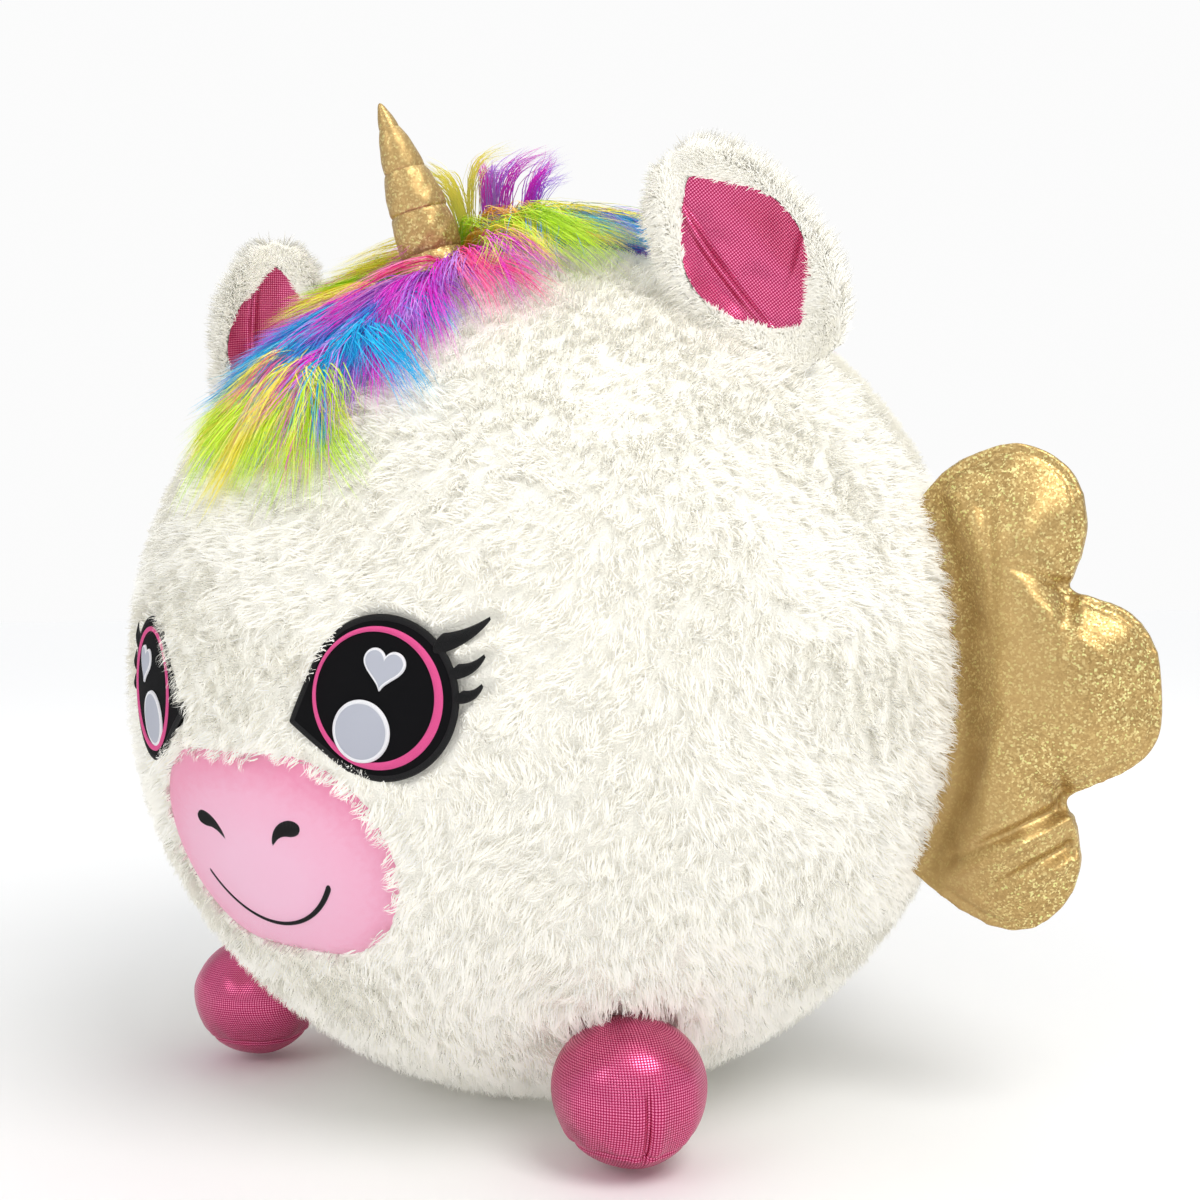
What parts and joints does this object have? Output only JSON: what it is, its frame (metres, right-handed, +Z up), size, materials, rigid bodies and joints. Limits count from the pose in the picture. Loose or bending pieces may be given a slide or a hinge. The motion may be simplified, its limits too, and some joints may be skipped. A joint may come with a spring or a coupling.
{
  "type": "plush unicorn",
  "caption": "Round plush unicorn over an air-filled ball, with a wound horn, rainbow mane, folding ears, flapping wings, ball feet and a back zip.",
  "frame": {"origin": "on the ground, straight below the centre of the ball", "axes": "+Z up, the face looks along -Y, the unicorn's left is +X"},
  "size_m": [0.6904, 0.5478, 0.547],
  "materials": {
    "white_plush": "matte",
    "pink_plush": "matte",
    "black_thread": "satin",
    "black_felt": "matte",
    "eye_pink": "satin",
    "grey_felt": "matte",
    "gold_cloth": "satin",
    "gold_thread": "satin",
    "rainbow_plush": "matte",
    "metallic_pink": "satin",
    "wadding": "matte",
    "ball_vinyl": "satin",
    "valve_plastic": "matte",
    "zip_cloth": "matte",
    "zip_coil": "satin",
    "zip_metal": "satin",
    "label_cloth": "satin"
  },
  "bodies": {
    "ball": {"air_ball": "ball_vinyl", "valve_seat": "ball_vinyl", "front_panel": "white_plush", "side_panel_left": "white_plush", "side_panel_right": "white_plush", "back_panel_left": "white_plush", "back_panel_right": "white_plush", "zip_tape_left": "zip_cloth", "zip_tape_right": "zip_cloth", "zip_coil_left": "zip_coil", "zip_coil_right": "zip_coil", "zip_stops": "zip_metal", "care_label": "label_cloth", "muzzle_patch": "pink_plush", "nostril_left": "black_thread", "nostril_right": "black_thread", "smile": "black_thread", "eye_patch_left": "black_felt", "eye_ring_left": "eye_pink", "eye_heart_left": "grey_felt", "eye_spot_left": "grey_felt", "eye_lashes_left": "black_felt", "eye_patch_right": "black_felt", "eye_ring_right": "eye_pink", "eye_heart_right": "grey_felt", "eye_spot_right": "grey_felt", "eye_lashes_right": "black_felt", "horn_cover": "gold_cloth", "horn_filling": "wadding", "horn_windings": "gold_thread", "mane": "rainbow_plush", "foot_cover_left": "metallic_pink", "foot_filling_left": "wadding", "foot_cover_right": "metallic_pink", "foot_filling_right": "wadding"},
    "left_wing": {"wing_front_left": "gold_cloth", "wing_back_left": "gold_cloth", "wing_wadding_left": "wadding"},
    "right_wing": {"wing_front_right": "gold_cloth", "wing_back_right": "gold_cloth", "wing_wadding_right": "wadding"},
    "left_ear": {"ear_back_left": "white_plush", "ear_lining_left": "metallic_pink", "ear_wadding_left": "wadding"},
    "right_ear": {"ear_back_right": "white_plush", "ear_lining_right": "metallic_pink", "ear_wadding_right": "wadding"},
    "tail_tuft": {"tail": "rainbow_plush"},
    "slider": {"zip_slider": "zip_metal"},
    "puller": {"zip_pull": "zip_metal"},
    "plug": {"valve_plug": "valve_plastic"}
  },
  "joints": [
    {"name": "left_wing_flap", "type": "hinge", "parent": "ball", "child": "left_wing", "pos_m": [0.23657, 0.04598, 0.238], "axis": [0, 0, 1], "range_deg": [-30, 35], "stiffness_Nm_per_rad": 0.05},
    {"name": "right_wing_flap", "type": "hinge", "parent": "ball", "child": "right_wing", "pos_m": [-0.23657, 0.04598, 0.238], "axis": [0, 0, -1], "range_deg": [-30, 35], "stiffness_Nm_per_rad": 0.05},
    {"name": "left_ear_fold", "type": "hinge", "parent": "ball", "child": "left_ear", "pos_m": [0.16117, -0.03849, 0.41208], "axis": [0.689, 0.499, -0.5256], "range_deg": [-25, 45], "stiffness_Nm_per_rad": 0.2},
    {"name": "right_ear_fold", "type": "hinge", "parent": "ball", "child": "right_ear", "pos_m": [-0.17521, -0.0514, 0.39319], "axis": [0.5658, 0.3396, 0.7514], "range_deg": [-60, 10], "stiffness_Nm_per_rad": 0.2},
    {"name": "tail_lift", "type": "hinge", "parent": "ball", "child": "tail_tuft", "pos_m": [0, 0.23573, 0.28811], "axis": [1, 0, 0], "range_deg": [0, 38]},
    {"name": "zip_travel", "type": "hinge", "parent": "ball", "child": "slider", "pos_m": [0, 0, 0.238], "axis": [1, 0, 0], "range_deg": [-37, 0]},
    {"name": "zip_pull_swing", "type": "hinge", "parent": "slider", "child": "puller", "pos_m": [0, 0.22531, 0.14697], "axis": [1, 0, 0], "range_deg": [-8, 120]},
    {"name": "valve_plug_pull", "type": "slide", "parent": "ball", "child": "plug", "axis": [0, 0.788, -0.6157], "range_m": [0, 0.004]}
  ]
}
